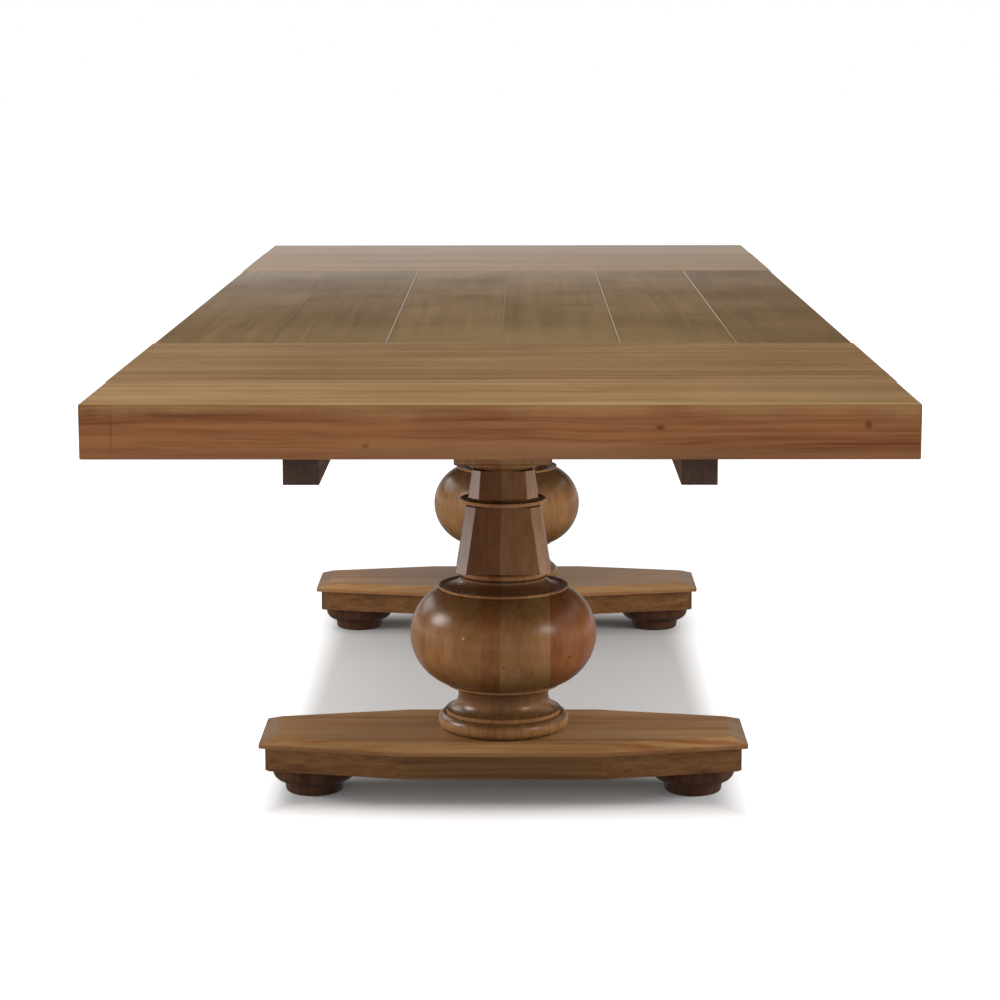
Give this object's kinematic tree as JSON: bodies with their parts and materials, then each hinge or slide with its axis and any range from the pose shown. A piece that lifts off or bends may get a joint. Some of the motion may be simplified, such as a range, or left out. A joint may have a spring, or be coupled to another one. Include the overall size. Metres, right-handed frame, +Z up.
{
  "type": "double pedestal dining table",
  "caption": "Extension dining table with a planked top on turned bulb pedestals, lift-out leaves and end sections that draw out on wooden runners.",
  "frame": {"origin": "on the floor under the middle of the top", "axes": "+Z up, +Y along the table's length towards the far end, +X to the right seen from the near end"},
  "size_m": [1.132, 2.956, 0.762],
  "materials": {
    "plank_wood": "satin lacquered brown planks",
    "board_wood": "satin lacquered golden brown boards",
    "edge_wood": "satin lacquered reddish brown edges",
    "turned_wood": "satin lacquered turned wood",
    "base_wood": "satin lacquered brown wood",
    "foot_wood": "satin lacquered dark brown wood",
    "frame_wood": "plain oiled dark brown wood",
    "steel": "zinc plated"
  },
  "bodies": {
    "main": {"top_plank_1": "plank_wood", "top_plank_2": "plank_wood", "top_plank_3": "plank_wood", "top_plank_4": "plank_wood", "top_plank_5": "plank_wood", "top_plank_6": "plank_wood", "panel_edge_strip_left": "edge_wood", "panel_edge_strip_right": "edge_wood", "fixed_rail_left": "frame_wood", "fixed_rail_right": "frame_wood", "near_plank_batten": "frame_wood", "far_plank_batten": "frame_wood", "near_bearer": "frame_wood", "near_capital": "turned_wood", "near_upper_column": "turned_wood", "near_collar": "turned_wood", "near_lower_column": "turned_wood", "near_bulb": "turned_wood", "near_base_turning": "turned_wood", "near_base_cap": "base_wood", "near_base_body": "base_wood", "near_foot_left": "foot_wood", "near_foot_right": "foot_wood", "near_tie_rod": "steel", "far_bearer": "frame_wood", "far_capital": "turned_wood", "far_upper_column": "turned_wood", "far_collar": "turned_wood", "far_lower_column": "turned_wood", "far_bulb": "turned_wood", "far_base_turning": "turned_wood", "far_base_cap": "base_wood", "far_base_body": "base_wood", "far_foot_left": "foot_wood", "far_foot_right": "foot_wood", "far_tie_rod": "steel", "tie_rod_nuts": "steel", "rail_screws": "steel"},
    "near_end": {"near_end_board": "board_wood", "near_end_edge_strip": "edge_wood", "near_end_side_strip_left": "edge_wood", "near_end_side_strip_right": "edge_wood", "near_runner_left": "frame_wood", "near_runner_right": "frame_wood", "near_runner_screws": "steel"},
    "near_leaf": {"near_leaf_board": "board_wood", "near_leaf_edge_strip_left": "edge_wood", "near_leaf_edge_strip_right": "edge_wood", "near_leaf_batten": "frame_wood"},
    "far_end": {"far_end_board": "board_wood", "far_end_edge_strip": "edge_wood", "far_end_side_strip_left": "edge_wood", "far_end_side_strip_right": "edge_wood", "far_runner_left": "frame_wood", "far_runner_right": "frame_wood", "far_runner_screws": "steel"},
    "far_leaf": {"far_leaf_board": "board_wood", "far_leaf_edge_strip_left": "edge_wood", "far_leaf_edge_strip_right": "edge_wood", "far_leaf_batten": "frame_wood"}
  },
  "joints": [
    {"name": "near_end_slide", "type": "slide", "parent": "main", "child": "near_end", "axis": [0, -1, 0], "range_m": [0, 0.04]},
    {"name": "near_leaf_lift", "type": "slide", "parent": "near_end", "child": "near_leaf", "axis": [0, 0, 1], "range_m": [0, 0.2]},
    {"name": "far_end_slide", "type": "slide", "parent": "main", "child": "far_end", "axis": [0, 1, 0], "range_m": [0, 0.04]},
    {"name": "far_leaf_lift", "type": "slide", "parent": "far_end", "child": "far_leaf", "axis": [0, 0, 1], "range_m": [0, 0.2]}
  ]
}
